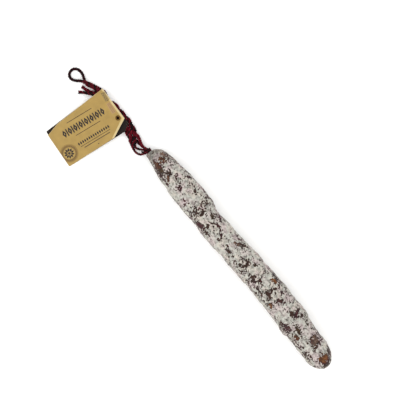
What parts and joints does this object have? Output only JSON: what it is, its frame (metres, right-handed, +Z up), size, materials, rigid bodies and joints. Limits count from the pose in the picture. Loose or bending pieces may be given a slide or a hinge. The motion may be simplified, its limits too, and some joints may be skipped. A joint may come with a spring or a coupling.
{
  "type": "dry-cured sausage with a string and a card tag",
  "caption": "Long thin dry-cured sausage with a white mould bloom, tied at the neck with dark red twine that is plaited into a hanging loop and carries a folded gold card tag.",
  "frame": {"origin": "on the surface that the sausage lies on, under the middle of the box round the sausage and its neck binding, without the twine and the tag", "axes": "+X along the sausage from its tied neck towards its blunt free end, +Z up out of the surface, +Y to the left when looking from the neck towards the free end; the tag lies on the -Y side"},
  "size_m": [0.4729, 0.1094, 0.0374],
  "materials": {
    "casing": "matte white mould bloom in patches over a dark red-brown dried casing",
    "twine": "twisted cotton twine, burgundy mottled with black",
    "card": "gold kraft card, black on its inner side, with plain printed ornament",
    "eyelet": "darkened brass, satin"
  },
  "bodies": {
    "root": {"sausage": "casing", "neck_binding": "twine", "cord_strand_1": "twine", "cord_strand_2": "twine", "cord_strand_3": "twine", "cord_strand_4": "twine", "cord_loop": "twine", "top_knot": "twine", "tag_card": "card", "tag_eyelet": "eyelet"}
  },
  "joints": []
}
